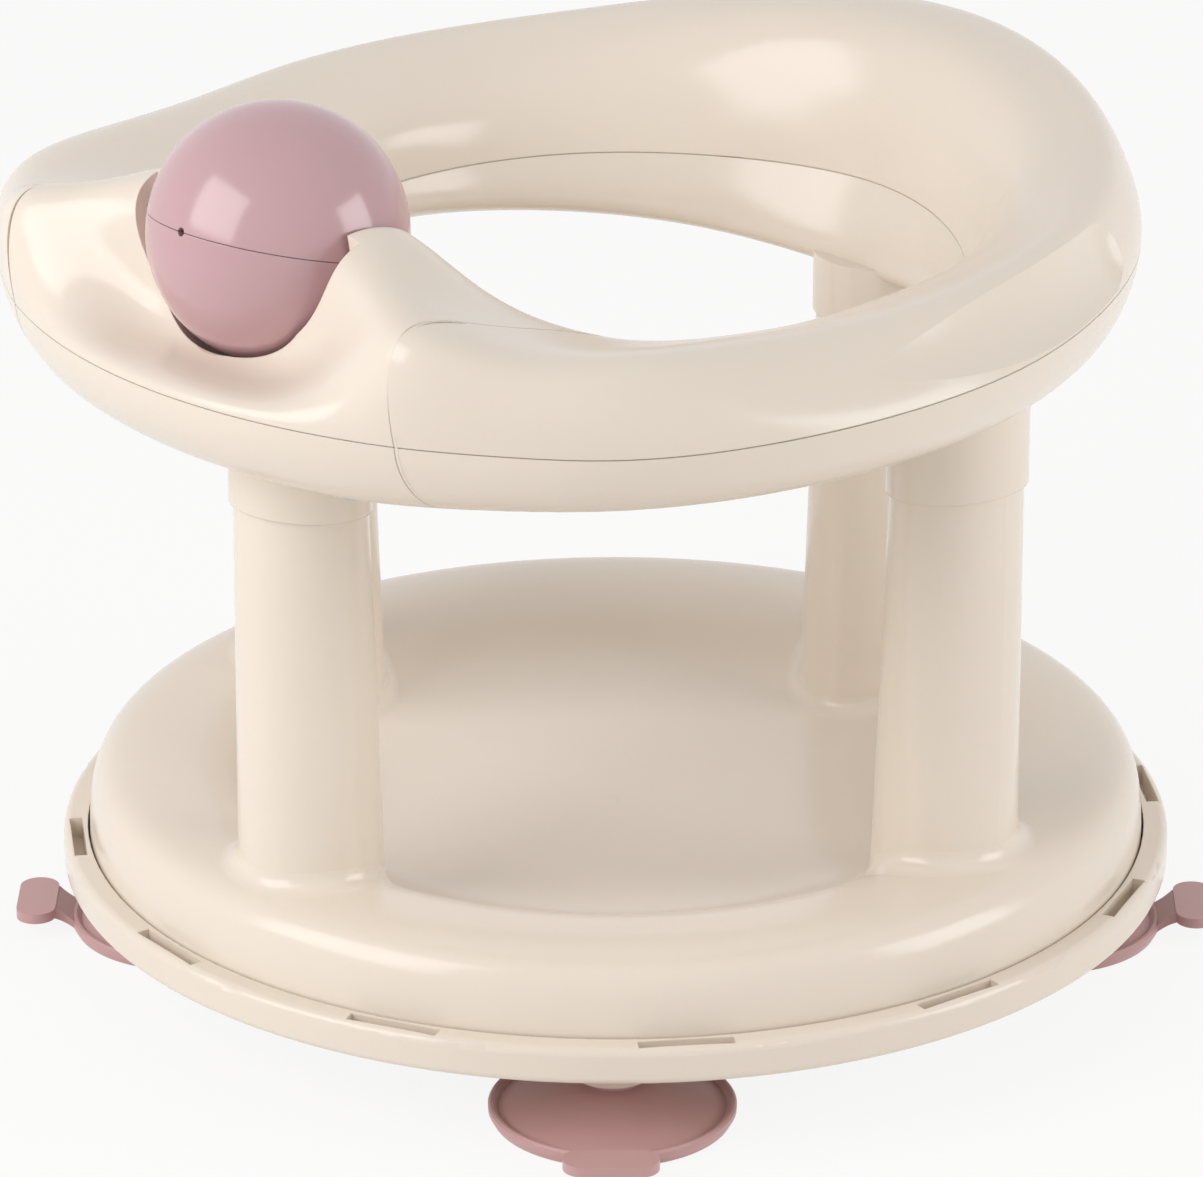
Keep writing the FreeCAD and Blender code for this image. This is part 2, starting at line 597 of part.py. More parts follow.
def seat_pan():
    """The dished pan, moulded in one with its four hollow pillars and the swivel spigot."""
    body = pan_filled(False)
    spigot_radius = S["collar_radius"] - S["collar_wall"] - S["fit_gap"]
    top = pillar_top()
    for place in PILLARS.values():
        body = body.fuse(pillar(place, 0))
    body = rounded_feet(body)
    hollows = [pan_filled(True)]
    spigots = []
    bores = []
    for place in PILLARS.values():
        hollows.append(pillar(place, S["pillar_wall"]))
        spigots.append(upright(spigot_radius, place, S["collar_height"] - S["overrun"], top))
        post = upright(S["collar_post_radius"], place, top - S["pillar_screw_length"], top)
        inside = upright(spigot_radius - S["spigot_wall"], place,
                         S["collar_height"] - S["overrun"] - S["overrun"], top - S["post_wall"])
        spigots.append(post)
        bores.append(inside.cut(post))
        bores.append(upright(S["screw_radius"] + S["fit_gap"], place,
                             top - S["pillar_screw_length"], top + S["overrun"]))
    body = body.cut(hollows)
    under = S["dish_height"] - S["pan_wall"] / HALVES
    rail_low = S["plate_wall"] + S["track_rise"] + S["glide_thickness"] + S["running_gap"]
    rail = upright(S["track_outside"] - S["seam_gap"], (0, 0), rail_low, under)
    rail = rail.cut(upright(S["track_inside"] + S["seam_gap"], (0, 0), 0, under + S["overrun"]))
    spigot_low = -S["hub_depth"] - S["running_gap"]
    axis = upright(S["spigot_radius"], (0, 0), spigot_low, under)
    bores.append(upright(S["screw_radius"] + S["fit_gap"], (0, 0), spigot_low - S["overrun"],
                         spigot_low + S["screw_length"] + S["seam_gap"]))
    return body.fuse(spigots + [rail, axis]).cut(bores)


def rounded_feet(body):
    """Round the joint between the pan and each pillar."""
    edges = [edge for edge in body.Edges if at_pillar_foot(edge)]
    return body.makeFillet(S["pillar_round"], edges)


def at_pillar_foot(edge):
    """Whether a whole edge lies where a pillar meets the pan."""
    if edge.Degenerated or edge.BoundBox.ZMax > S["collar_height"] / HALVES:
        return False
    for place in PILLARS.values():
        away = [math.hypot(point.x - place[0], point.y - place[1])
                for point in edge.discretize(FOOT_POINTS)]
        if max(away) < S["pillar_foot_radius"] + S["pillar_wall"]:
            return True
    return False


def cup_outline():
    """A suction cup's section: lip, rim, dished top, hollow underside and its mushroom stem."""
    rest = -S["flange_lift"]
    boss_end = -S["boss_depth"]
    top = S["plate_wall"]
    rim = S["cup_radius"] - S["cup_rim_width"]
    rim_top = rest + S["cup_rim_height"]
    return [
        (0.0, rest + S["cup_hollow"]),
        (S["cup_hollow_radius"], rest + S["cup_hollow"] - S["cup_edge"]),
        (S["cup_radius"] - S["cup_lip"] - S["cup_lip"], rest),
        (S["cup_radius"] - S["cup_lip"], rest),
        (S["cup_radius"], rest + S["cup_edge"]),
        (S["cup_radius"], rim_top - S["cup_rim_round"]),
        (S["cup_radius"] - S["cup_rim_round"], rim_top),
        (rim + S["cup_rim_round"], rim_top),
        (rim, rim_top - S["cup_rim_round"]),
        (S["cup_dish_radius"], rest + S["cup_dish_height"]),
        (S["cup_shoulder"], rest + S["cup_shoulder_rise"]),
        (S["cup_neck"], boss_end - S["cup_edge"]),
        (S["cup_neck"], boss_end),
        (S["stem_radius"], boss_end),
        (S["stem_radius"], top),
        (S["stem_head_radius"], top),
        (S["stem_radius"], top + S["stem_head"]),
        (0.0, top + S["stem_head"]),
    ]


def tab_neck(out, middle):
    """The neck that rises from a cup's rim to its pull-tab, with a waist."""
    half = S["neck_thickness"] / HALVES
    start = S["cup_radius"] - S["cup_rim_width"] + S["cup_rim_round"]
    bend = start + S["neck_slope"]
    low = S["cup_rim_height"] - S["flange_lift"] - S["cup_rim_round"] - half
    side = [(start, low - half), (bend + half, middle - half), (out, middle - half),
            (out, middle + half), (bend - half, middle + half), (start, low + half)]
    corners = [Vector(x, -S["neck_half_width"], z) for x, z in side]
    neck = Part.Face(Part.makePolygon(corners + corners[:1])).extrude(
        Vector(0, S["neck_half_width"] + S["neck_half_width"], 0))
    away = S["waist_half_width"] + S["waist_round"]
    waist = out - S["tab_round"] - S["waist_round"] / HALVES
    for way in (-away, away):
        neck = neck.cut(upright(S["waist_round"], (waist, way), -S["flange_lift"], 0))
    return neck


def suction_cup(angle):
    """A soft cup under its boss, with the pull-tab that breaks its seal."""
    corners = [Vector(radius, 0, height) for radius, height in cup_outline()]
    face = Part.Face(Part.makePolygon(corners + corners[:1]))
    cup = face.revolve(Vector(0, 0, 0), Vector(0, 0, 1), FULL_TURN)
    middle = S["tab_rise"] - S["flange_lift"]
    low = middle - S["tab_thickness"] / HALVES
    out = S["tab_circle"] - S["cup_circle"]
    ends = [upright(S["tab_round"], (out, side * S["tab_half_length"]), low, low + S["tab_thickness"])
            for side in (-1, 1)]
    bar = Part.makeBox(S["tab_round"] + S["tab_round"],
                       S["tab_half_length"] + S["tab_half_length"], S["tab_thickness"],
                       Vector(out - S["tab_round"], -S["tab_half_length"], low))
    cup = cup.fuse([tab_neck(out, middle), bar] + ends).removeSplitter()
    cup.translate(Vector(S["cup_circle"], 0, 0))
    cup.rotate(Vector(0, 0, 0), Vector(0, 0, 1), angle)
    return cup


def pattern(body, name, original, count):
    """Repeat a feature round the body's own Z axis."""
    turns = body.newObject("PartDesign::PolarPattern", name)
    turns.Originals = [original]
    axis = [part for part in body.Origin.OriginFeatures if part.Role == "Z_Axis"][0]
    turns.Axis = (axis, [""])
    turns.Angle = FULL_TURN
    turns.Occurrences = count
    body.Tip = turns
    doc.recompute()
    return turns


def circle_sketch(body, name, height, turn, reach, radius):
    """A circle at a reach from the axis, on a plane across it."""
    sketch = sketch_on(body, name, "XY_Plane", height, turn)
    sketch.addGeometry(Part.Circle(Vector(amount(reach), 0, 0), Vector(0, 0, 1), amount(radius)))
    sketch.addConstraint(Sketcher.Constraint("PointOnObject", 0, 3, -1))
    place = sketch.addConstraint(Sketcher.Constraint("DistanceX", -1, 1, 0, 3, amount(reach)))
    sketch.setExpression("Constraints[%d]" % place, formula(reach))
    width = sketch.addConstraint(Sketcher.Constraint("Radius", 0, amount(radius)))
    sketch.setExpression("Constraints[%d]" % width, formula(radius))
    return sketch


def base_plate():
    """The round base: lip, glide track, swivel hub, cup bosses and the slots in its lip."""
    track = "plate_wall track_rise"
    hub_bore = "spigot_radius bush_wall fit_gap fit_gap"
    hub_outside = hub_bore + " hub_wall"
    body = turned("base_plate", [
        (hub_bore, "-hub_depth"), (hub_outside, "-hub_depth"), (hub_outside, "0"),
        ("base_radius", "0"), ("base_radius", "flange_rise"), ("lip_inside", "flange_rise"),
        ("lip_inside", "plate_wall"), ("track_outside", "plate_wall"), ("track_outside", track),
        ("track_inside", track), ("track_inside", "plate_wall"), (hub_outside, "plate_wall"),
        (hub_outside, track), (hub_bore, track),
    ])
    edges = []
    for number, edge in enumerate(body.Shape.Edges, start=1):
        box = edge.BoundBox
        if abs(box.XMax - S["base_radius"]) < S["fit_gap"] and box.ZLength < S["fit_gap"]:
            edges.append("Edge%d" % number)
    turned_plate = body.Tip
    rounding = body.newObject("PartDesign::Fillet", "rounded_lip")
    rounding.Base = (turned_plate, edges)
    rounding.setExpression("Radius", "Sizes.lip_round")
    body.Tip = rounding
    doc.recompute()

    boss = body.newObject("PartDesign::Pad", "cup_boss")
    boss.Profile = circle_sketch(body, "boss_circle", "0", CUP_ANGLE, "cup_circle", "boss_radius")
    boss.setExpression("Length", "Sizes.boss_depth")
    boss.Reversed = True
    doc.recompute()
    pattern(body, "cup_bosses", boss, CUP_COUNT)

    hole = body.newObject("PartDesign::Pocket", "stem_hole")
    hole.Profile = circle_sketch(body, "stem_circle", track, CUP_ANGLE, "cup_circle",
                                 "stem_radius fit_gap")
    hole.setExpression("Length", formula(track + " boss_depth overrun"))
    doc.recompute()
    pattern(body, "stem_holes", hole, CUP_COUNT)

    slot = body.newObject("PartDesign::Pocket", "lip_slot")
    sketch = sketch_on(body, "slot_outline", "XY_Plane", "flange_rise overrun", SLOT_ANGLE)
    draw_outline(sketch, [
        ("slot_inside", "-slot_half_length"), ("slot_outside", "-slot_half_length"),
        ("slot_outside", "slot_half_length"), ("slot_inside", "slot_half_length"),
    ])
    slot.Profile = sketch
    slot.setExpression("Length", formula("slot_depth overrun"))
    doc.recompute()
    pattern(body, "lip_slots", slot, SLOT_COUNT)
    return body


def screw(place, seat, length, up):
    """A pan-head screw's solid, its head seated at a height."""
    way = 1 if up else -1
    shank = Part.makeCylinder(S["screw_radius"], length, Vector(place[0], place[1], seat),
                              Vector(0, 0, way))
    head = Part.makeCylinder(S["screw_head_radius"], S["screw_head"],
                             Vector(place[0], place[1], seat), Vector(0, 0, -way))
    return shank.fuse(head)


base = base_plate()
lift(base)

turned_parts = {
    "glide_ring": [
        ("track_inside seam_gap", "plate_wall track_rise"),
        ("track_outside -seam_gap", "plate_wall track_rise"),
        ("track_outside -seam_gap", "plate_wall track_rise glide_thickness"),
        ("track_inside seam_gap", "plate_wall track_rise glide_thickness"),
    ],
    "pivot_bush": [
        ("spigot_radius fit_gap", "-hub_depth"),
        ("spigot_radius fit_gap bush_wall", "-hub_depth"),
        ("spigot_radius fit_gap bush_wall", "plate_wall track_rise"),
        ("spigot_radius fit_gap bush_wall bush_flange", "plate_wall track_rise"),
        ("spigot_radius fit_gap bush_wall bush_flange", "plate_wall track_rise glide_thickness"),
        ("spigot_radius fit_gap", "plate_wall track_rise glide_thickness"),
    ],
    "pivot_washer": [
        ("screw_radius fit_gap", "-hub_depth -running_gap -retainer_wall"),
        ("retainer_radius", "-hub_depth -running_gap -retainer_wall"),
        ("retainer_radius", "-hub_depth -running_gap"),
        ("screw_radius fit_gap", "-hub_depth -running_gap"),
    ],
    "pivot_screw": [
        ("0", "-hub_depth -running_gap -retainer_wall -screw_head"),
        ("screw_head_radius", "-hub_depth -running_gap -retainer_wall -screw_head"),
        ("screw_head_radius", "-hub_depth -running_gap -retainer_wall"),
        ("screw_radius", "-hub_depth -running_gap -retainer_wall"),
        ("screw_radius", "-hub_depth -running_gap -retainer_wall screw_length"),
        ("0", "-hub_depth -running_gap -retainer_wall screw_length"),
    ],
}
for name, outline in turned_parts.items():
    lift(turned(name, outline))

for number in range(CUP_COUNT):
    feature("suction_cup_%d" % (number + 1), suction_cup(CUP_ANGLE + FULL_TURN * number / CUP_COUNT))

feature("seat_pan", seat_pan())
front_lower, front_seat, cover_seats = lower_part(True, ("front",), COVER_SCREWS)
ring_lower, ring_seats, screw_seats = lower_part(False, ("right", "rear", "left"), RING_SCREWS)
feature("front_lower_cover", front_lower)
feature("ring_lower_shell", ring_lower)
feature("front_upper_cover", upper_part(True, cover_seats))
feature("ring_upper_shell", upper_part(False, screw_seats))
feature("ball_upper_half", ball_half(True))
feature("ball_lower_half", ball_half(False))
feature("ball_axle", axle_shape(0.0))

seats = dict(front_seat)
seats.update(ring_seats)
pillar_screws = [screw(PILLARS[name], seat, S["pillar_screw_length"], False)
                 for name, seat in seats.items()]
feature("pillar_screws", Part.makeCompound(pillar_screws))
feature("ring_screws", Part.makeCompound(
    [screw(place, seat, S["screw_length"], True) for place, seat, top in screw_seats]))
feature("cover_screws", Part.makeCompound(
    [screw(place, seat, S["screw_length"], True) for place, seat, top in cover_seats]))

doc.recompute()

parts = [item for item in doc.Objects
         if item.TypeId in ("PartDesign::Body", "Part::Feature") and not item.getParentGeoFeatureGroup()]
for item in doc.Objects:
    if "Invalid" in item.State or "Error" in item.State:
        raise RuntimeError(item.Label + " did not compute")
for item in parts:
    shape = item.Shape
    if shape.isNull() or not shape.isValid():
        raise RuntimeError(item.Label + " has no valid solid")
    shape.exportStep("parts/" + item.Label + ".step")
    print(item.Label, len(shape.Solids), round(shape.Volume))
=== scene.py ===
"""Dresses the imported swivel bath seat: moulded finishes, soft edges, floor, light and camera."""

import math

import bpy
from bpy.props import FloatProperty, FloatVectorProperty, PointerProperty
from mathutils import Matrix, Vector


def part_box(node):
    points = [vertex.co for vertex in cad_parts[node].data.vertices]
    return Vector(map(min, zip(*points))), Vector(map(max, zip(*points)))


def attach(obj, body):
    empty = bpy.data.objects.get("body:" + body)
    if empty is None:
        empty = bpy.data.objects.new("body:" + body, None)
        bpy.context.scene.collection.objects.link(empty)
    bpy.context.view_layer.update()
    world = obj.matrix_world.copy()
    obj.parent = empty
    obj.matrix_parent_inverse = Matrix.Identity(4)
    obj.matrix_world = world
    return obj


bl_info = {
    "name": "Swivel bath seat",
    "version": (1, 0, 0),
    "blender": (4, 5, 0),
    "location": "View3D > Sidebar > Bath seat",
    "description": "Finishes for a swivelling baby bath seat with a rolling ball",
    "category": "Object",
}

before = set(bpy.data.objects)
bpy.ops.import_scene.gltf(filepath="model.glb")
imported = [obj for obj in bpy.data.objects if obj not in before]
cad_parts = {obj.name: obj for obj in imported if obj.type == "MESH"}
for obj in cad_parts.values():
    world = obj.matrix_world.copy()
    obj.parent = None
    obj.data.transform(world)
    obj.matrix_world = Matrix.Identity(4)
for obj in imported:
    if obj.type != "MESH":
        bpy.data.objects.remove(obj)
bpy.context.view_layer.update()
MM = 0.001
CREAM = "polypropylene_moulded_cream"

# Millimetres: the rounding of moulded edges, the tongues behind the ring's joints, and how
# near a corner of the mesh lies to the cut face that it belongs to
EDGE_RADIUS = 0.5
TONGUE_DEPTH = 1.4
SKIN_DEPTH = 0.5
TONGUE_HALF_WIDTH = 1.2
CLOSE = 0.02
# Millimetres: the ring's inner side lies within this reach of the swivel axis
INNER_REACH = 112
# A face belongs to the outside skin when its normal leans this far out of the shell
SKIN_COSINE = 0.3
# Edges of the mesh that turn further than this stay sharp
SHARP_TURN = math.radians(28)

# Millimetres: marks that the mould, the talc, the lathe and the drawn bar leave, how deep the
# finest of them go, and how deep light spreads in the plastic
FLOW_MARK = 70
MOULD_GRAIN = 1.6
TALC_BLOOM = 9
RUBBER_GRAIN = 0.9
TOOL_MARK = 1.508
STEEL_STREAK = 0.6
GRAIN_DEPTH = 0.02
LIGHT_DEPTH = 1.5
# Metres between the rings of a wave texture whose scale is 1
WAVE_STEP = math.pi / 10
# Refraction of polypropylene, soft PVC and acetal. The ball's ABS is a little above its usual
# 1.54, for the strong highlights that the ball shows
SHELL_IOR = 1.49
CUP_IOR = 1.52
ACETAL_IOR = 1.48
BALL_IOR = 1.6

# The photograph's width and the fitted focal length in pixels, and the sensor in millimetres
PHOTO_WIDTH = 1203
FOCAL_LENGTH = 7500
SENSOR_WIDTH = 36
# Millimetres: the camera's place beside and above the line of sight to the swivel axis, where
# that line meets the underside of the base's flange, and the height of that underside
CAMERA_ACROSS = -4.491
CAMERA_ABOVE = 81.312
FLANGE_LIFT = 28
# Metres: where the softboxes look, how far off they stand, and half the width of the floor
LAMP_AIM = 0.16
LAMP_DISTANCE = 1.7
FLOOR_HALF_WIDTH = 6.0
# Millimetres that the floor lies below the suction cups
FLOOR_DROP = 0.4
# Level of the white that the camera sees, and the share of it that the floor's shadow can't dim
SHOWN_WHITE = 0.99
UNSHADED_SHARE = 0.89
# Degrees from the camera and above the floor, then width and height in metres
LEFT_SOFTBOX = (-59, 29, 1.3, 1.1)
RIGHT_SOFTBOX = (74, 17, 0.9, 0.9)


def from_hex(code):
    """An sRGB hex colour as linear red, green and blue."""
    shares = [int(code[place:place + 2], 16) / 255 for place in (0, 2, 4)]
    return tuple(share / 12.92 if share <= 0.04045 else ((share + 0.055) / 1.055) ** 2.4
                 for share in shares)


def shaded(colour, share=1.0):
    """A colour made darker or lighter by a share, with full opacity."""
    return tuple(min(1.0, channel * share) for channel in colour[:3]) + (1.0,)


class BathSeatFinish(bpy.types.PropertyGroup):
    """Colours and gloss of the moulded parts"""

    shell_colour: FloatVectorProperty(
        name="Shell colour", description="Pigment of the base, pan and ring",
        subtype="COLOR", size=3, min=0, max=1, default=from_hex("ECE0D2"))
    ball_colour: FloatVectorProperty(
        name="Ball colour", description="Pigment of the rolling ball",
        subtype="COLOR", size=3, min=0, max=1, default=from_hex("C7A0A5"))
    cup_colour: FloatVectorProperty(
        name="Cup colour", description="Pigment of the soft suction cups",
        subtype="COLOR", size=3, min=0, max=1, default=from_hex("C89D9C"))
    shell_roughness: FloatProperty(
        name="Shell roughness", description="How matt the polished mould leaves the shells",
        subtype="FACTOR", min=0, max=1, default=0.2)
    ball_roughness: FloatProperty(
        name="Ball roughness", description="How matt the polished mould leaves the ball",
        subtype="FACTOR", min=0, max=1, default=0.15)


class BathSeatStage(bpy.types.PropertyGroup):
    """Light, floor and camera"""

    lens: FloatProperty(
        name="Lens", description="Focal length of the camera on a 36 mm sensor",
        subtype="DISTANCE_CAMERA", min=20, max=400, default=FOCAL_LENGTH / PHOTO_WIDTH * SENSOR_WIDTH)
    pitch: FloatProperty(
        name="Pitch", description="How far the camera looks down",
        subtype="ANGLE", default=math.radians(22.373))
    heading: FloatProperty(
        name="Heading", description="Turn of the camera round the seat from its front",
        subtype="ANGLE", default=math.radians(45.5))
    distance: FloatProperty(
        name="Distance", description="Camera to swivel axis along the view",
        unit="LENGTH", min=0.5, max=10, default=2.38803)
    left_power: FloatProperty(
        name="Left lamp", description="Power of the large softbox on the left",
        unit="POWER", min=0, max=200, default=16.0)
    right_power: FloatProperty(
        name="Right lamp", description="Power of the low softbox on the right",
        unit="POWER", min=0, max=200, default=9.5)
    sky_strength: FloatProperty(
        name="Room light", description="Strength of the even light from the room",
        min=0, max=2, default=0.49)


def add_node(tree, kind, settings=None, links=None):
    """Add a node, set its values or sockets, and link its sockets to other nodes' outputs."""
    node = tree.nodes.new(kind)
    for name, value in (settings or {}).items():
        if isinstance(name, int) or name in node.inputs:
            node.inputs[name].default_value = value
        else:
            setattr(node, name, value)
    for name, (source, output) in (links or {}).items():
        tree.links.new(source.outputs[output], node.inputs[name])
    return node


def per_metre(millimetres):
    """Noise scale that repeats a pattern over a real size."""
    return 1 / (millimetres * MM)


def start_material(name):
    """A new material with an empty node tree."""
    material = bpy.data.materials.new(name)
    material.use_nodes = True
    material.node_tree.nodes.clear()
    return material, material.node_tree


def moulded_gloss(name, colour, roughness, ior):
    """Gloss thermoplastic from a polished injection mould: an even pigment with faint flow
    marks and a fine skin that softens reflections."""
    material, tree = start_material(name)
    place = add_node(tree, "ShaderNodeTexCoord")
    flow = add_node(tree, "ShaderNodeTexNoise",
                    {"Scale": per_metre(FLOW_MARK), "Detail": 2.0, "Roughness": 0.4},
                    {"Vector": (place, "Object")})
    pigment = add_node(tree, "ShaderNodeMix",
                       {"data_type": "RGBA", 6: shaded(colour, 0.975), 7: shaded(colour, 1.02)},
                       {0: (flow, "Fac")})
    skin = add_node(tree, "ShaderNodeTexNoise",
                    {"Scale": per_metre(MOULD_GRAIN), "Detail": 1.0},
                    {"Vector": (place, "Object")})
    gloss = add_node(tree, "ShaderNodeMapRange",
                     {"To Min": roughness * 0.8, "To Max": roughness * 1.2},
                     {"Value": (flow, "Fac")})
    edge = add_node(tree, "ShaderNodeBevel", {"samples": 6, "Radius": EDGE_RADIUS * MM})
    fine = add_node(tree, "ShaderNodeBump",
                    {"Strength": 0.25, "Distance": GRAIN_DEPTH * MM},
                    {"Height": (skin, "Fac"), "Normal": (edge, "Normal")})
    shader = add_node(tree, "ShaderNodeBsdfPrincipled",
                      {"IOR": ior, "Subsurface Weight": 0.12, "Subsurface Scale": LIGHT_DEPTH * MM,
                       "Subsurface Radius": (1.0, 0.55, 0.35)},
                      {"Base Color": (pigment, 2), "Roughness": (gloss, "Result"),
                       "Normal": (fine, "Normal")})
    add_node(tree, "ShaderNodeOutputMaterial", None, {"Surface": (shader, "BSDF")})
    return material


def moulded_rubber(name, colour):
    """Soft PVC from a polished mould: satin skin with a milky edge and fine talc bloom."""
    material, tree = start_material(name)
    place = add_node(tree, "ShaderNodeTexCoord")
    bloom = add_node(tree, "ShaderNodeTexNoise",
                     {"Scale": per_metre(TALC_BLOOM), "Detail": 4.0},
                     {"Vector": (place, "Object")})
    pigment = add_node(tree, "ShaderNodeMix",
                       {"data_type": "RGBA", 6: shaded(colour, 0.96), 7: shaded(colour, 1.03)},
                       {0: (bloom, "Fac")})
    gloss = add_node(tree, "ShaderNodeMapRange",
                     {"To Min": 0.32, "To Max": 0.5},
                     {"Value": (bloom, "Fac")})
    skin = add_node(tree, "ShaderNodeTexNoise",
                    {"Scale": per_metre(RUBBER_GRAIN), "Detail": 1.0},
                    {"Vector": (place, "Object")})
    fine = add_node(tree, "ShaderNodeBump",
                    {"Strength": 0.3, "Distance": GRAIN_DEPTH * MM}, {"Height": (skin, "Fac")})
    shader = add_node(tree, "ShaderNodeBsdfPrincipled",
                      {"IOR": CUP_IOR, "Sheen Weight": 0.1, "Sheen Roughness": 0.5},
                      {"Base Color": (pigment, 2), "Roughness": (gloss, "Result"),
                       "Normal": (fine, "Normal")})
    add_node(tree, "ShaderNodeOutputMaterial", None, {"Surface": (shader, "BSDF")})
    return material


def machined_acetal(name):
    """White acetal, turned: slightly waxy, with concentric tool marks drawn coarse enough to
    show."""
    material, tree = start_material(name)
    place = add_node(tree, "ShaderNodeTexCoord")
    marks = add_node(tree, "ShaderNodeTexWave",
                     {"wave_type": "RINGS", "rings_direction": "Z",
                      "Scale": WAVE_STEP * per_metre(TOOL_MARK),
                      "Distortion": 0.4, "Detail": 1.0},
                     {"Vector": (place, "Object")})
    groove = add_node(tree, "ShaderNodeBump",
                      {"Strength": 0.2, "Distance": GRAIN_DEPTH * MM},
                      {"Height": (marks, "Fac")})
    pigment = add_node(tree, "ShaderNodeMix",
                       {"data_type": "RGBA", 6: shaded(from_hex("E8E8E4")),
                        7: shaded(from_hex("F1F1ED"))},
                       {0: (marks, "Fac")})
    shader = add_node(tree, "ShaderNodeBsdfPrincipled",
                      {"IOR": ACETAL_IOR, "Roughness": 0.38},
                      {"Base Color": (pigment, 2), "Normal": (groove, "Normal")})
    add_node(tree, "ShaderNodeOutputMaterial", None, {"Surface": (shader, "BSDF")})
    return material


def turned_stainless(name):
    """Stainless steel, turned and passivated: grey metal with fine streaks round it."""
    material, tree = start_material(name)
    place = add_node(tree, "ShaderNodeTexCoord")
    streaks = add_node(tree, "ShaderNodeTexNoise",
                       {"Scale": per_metre(STEEL_STREAK), "Detail": 3.0},
                       {"Vector": (place, "Object")})
    gloss = add_node(tree, "ShaderNodeMapRange",
                     {"To Min": 0.2, "To Max": 0.42},
                     {"Value": (streaks, "Fac")})
    tint = add_node(tree, "ShaderNodeMix",
                    {"data_type": "RGBA", 6: shaded(from_hex("B4B5B6")),
                     7: shaded(from_hex("C8C9CA"))},
                    {0: (streaks, "Fac")})
    shader = add_node(tree, "ShaderNodeBsdfPrincipled", {"Metallic": 1.0},
                      {"Base Color": (tint, 2), "Roughness": (gloss, "Result")})
    add_node(tree, "ShaderNodeOutputMaterial", None, {"Surface": (shader, "BSDF")})
    return material


def finish(node, material):
    """Give a CAD node its material and smooth shading between its sharp edges."""
    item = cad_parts[node]
    item.data.materials.clear()
    item.data.materials.append(material)
    for face in item.data.polygons:
        face.use_smooth = True
        face.material_index = 0
    item.data.set_sharp_from_angle(angle=SHARP_TURN)


class SeatPiece:
    """What every operator of the seat shares."""

    bl_options = {"REGISTER", "UNDO"}


class BATHSEAT_OT_shells(SeatPiece, bpy.types.Operator):
    """Finish the base plate, the seat pan and the four ring shells in cream plastic"""

    bl_idname = "bathseat.shells"
    bl_label = "Cream shells"

    def execute(self, context):
        settings = context.scene.bath_seat_finish
        cream = moulded_gloss(CREAM, settings.shell_colour, settings.shell_roughness, SHELL_IOR)
        for node in ("base_plate", "seat_pan", "front_lower_cover", "ring_lower_shell",
                     "front_upper_cover", "ring_upper_shell"):
            finish(node, cream)
        return {"FINISHED"}


def skin_edge(node, on_cut, away):
    """Corners of a CAD shell's outside skin that lie on a cut face: on_cut picks a corner, and
    away gives the direction out of the shell there."""
    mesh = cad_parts[node].data
    corners = {}
    for face in mesh.polygons:
        for number in face.vertices:
            spot = mesh.vertices[number].co
            if on_cut(spot) and face.normal.dot(away(spot)) > SKIN_COSINE:
                corners[number] = spot.copy()
    return list(corners.values())


def outwards(spot):
    """Horizontal direction away from the swivel axis."""
    return Vector((spot.x, spot.y, 0)).normalized()


def tongue(name, corners, into, across, material):
    """A closed band along a joint, just under the skin, that hides the hollow behind it."""
    points = []
    for corner in corners:
        middle = corner + into(corner)
        points += [middle - across, middle + across]
    count = len(corners)
    faces = []
    for number in range(count):
        after = (number + 1) % count
        faces.append((2 * number, 2 * after, 2 * after + 1, 2 * number + 1))
    mesh = bpy.data.meshes.new(name)
    mesh.from_pydata(points, [], faces)
    mesh.materials.append(material)
    band = bpy.data.objects.new(name, mesh)
    bpy.context.scene.collection.objects.link(band)
    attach(band, "seat")


def parting_tongue(name, height, way, depth, material):
    """The tongue behind the joint between upper and lower shells, on the ring's outer side
    when way is 1 and on its inner side when it is -1."""
    corners = []
    for shell in ("front_lower_cover", "ring_lower_shell"):
        corners += skin_edge(shell, lambda spot: abs(spot.z - height) < CLOSE * MM,
                             lambda spot: way * outwards(spot))
    corners.sort(key=lambda spot: math.atan2(spot.x, -spot.y))
    tongue(name, corners, lambda spot: -way * depth * MM * outwards(spot),
           Vector((0, 0, TONGUE_HALF_WIDTH * MM)), material)


def seam_tongue(name, cut, material):
    """The tongue behind the upright joint between the front cover and the rest of the ring."""
    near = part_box("front_lower_cover")
    inside = Vector((cut, (near[0].y + near[1].y) / 2, near[1].z))
    corners = []
    for shell in ("front_lower_cover", "front_upper_cover"):
        corners += skin_edge(shell, lambda spot: abs(spot.x - cut) < CLOSE * MM,
                             lambda spot: (spot - inside).normalized())
    middle = sum(corners, Vector((0, 0, 0))) / len(corners)
    corners.sort(key=lambda spot: math.atan2(spot.z - middle.z, spot.y - middle.y))
    tongue(name, corners, lambda spot: (middle - spot).normalized() * SKIN_DEPTH * MM,
           Vector((TONGUE_HALF_WIDTH * MM, 0, 0)), material)


class BATHSEAT_OT_joint_tongues(SeatPiece, bpy.types.Operator):
    """Add the lap tongues behind the joints between the ring's shells"""

    bl_idname = "bathseat.joint_tongues"
    bl_label = "Joint tongues"

    def execute(self, context):
        cream = bpy.data.materials[CREAM]
        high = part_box("front_lower_cover")[1]
        near_axis = [vertex.co.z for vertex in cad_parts["ring_lower_shell"].data.vertices
                     if math.hypot(vertex.co.x, vertex.co.y) < INNER_REACH * MM]
        parting_tongue("outer_joint_tongue", high.z, 1, TONGUE_DEPTH, cream)
        parting_tongue("inner_joint_tongue", max(near_axis), -1, SKIN_DEPTH, cream)
        seam_tongue("right_seam_tongue", high.x, cream)
        seam_tongue("left_seam_tongue", -high.x, cream)
        return {"FINISHED"}


